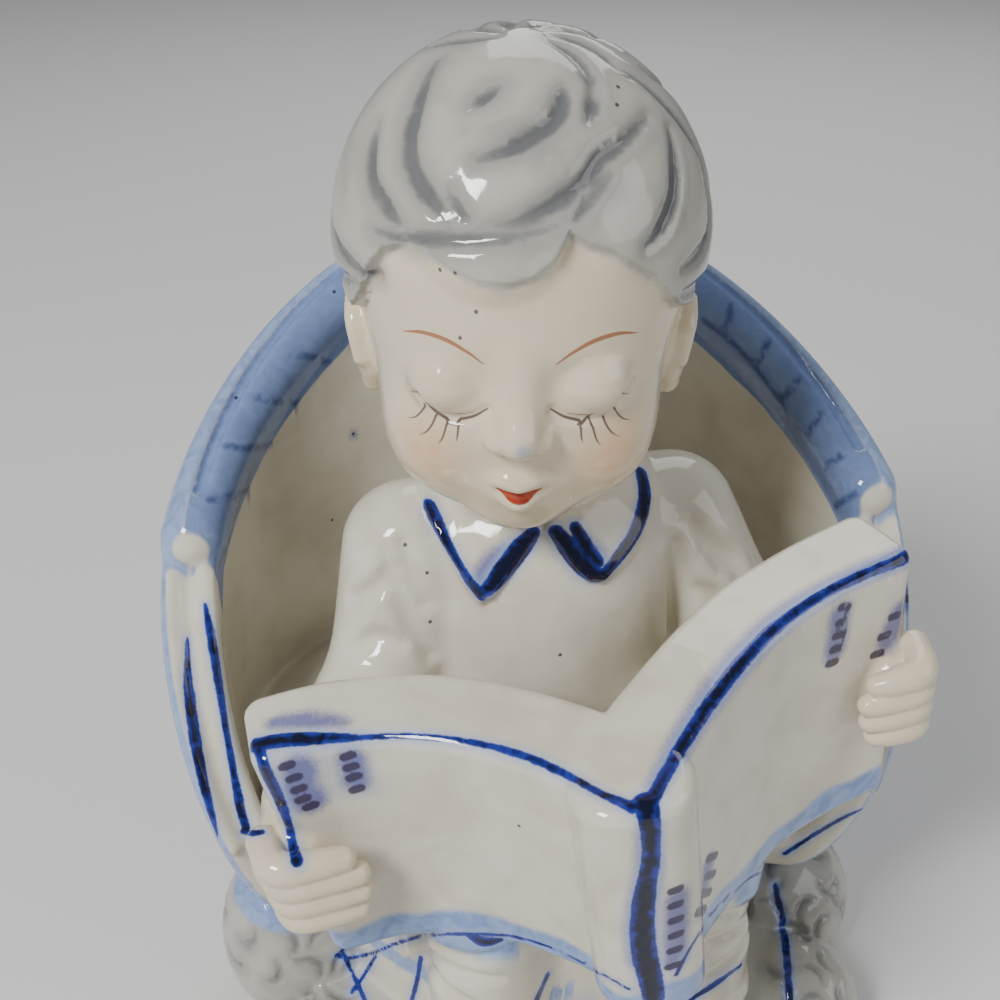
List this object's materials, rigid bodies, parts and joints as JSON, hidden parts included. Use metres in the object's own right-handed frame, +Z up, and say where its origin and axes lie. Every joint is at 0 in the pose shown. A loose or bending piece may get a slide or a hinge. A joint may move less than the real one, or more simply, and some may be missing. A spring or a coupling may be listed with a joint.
{
  "type": "boy figurine",
  "caption": "Glazed porcelain figurine of a seated boy who reads an open newspaper in a tub armchair; it stands on the flat underside of its mound as a shelf ornament.",
  "frame": {"origin": "on the table, below the middle of the chair", "axes": "+Z up, the chair faces -Y, the boy's left hand is at +X"},
  "size_m": [0.1087, 0.1017, 0.15],
  "materials": {
    "glazed_porcelain": "glossy clear glaze over warm white porcelain, hand painted in cobalt blue"
  },
  "bodies": {
    "root": {"boy_in_armchair": "glazed_porcelain"}
  },
  "joints": []
}
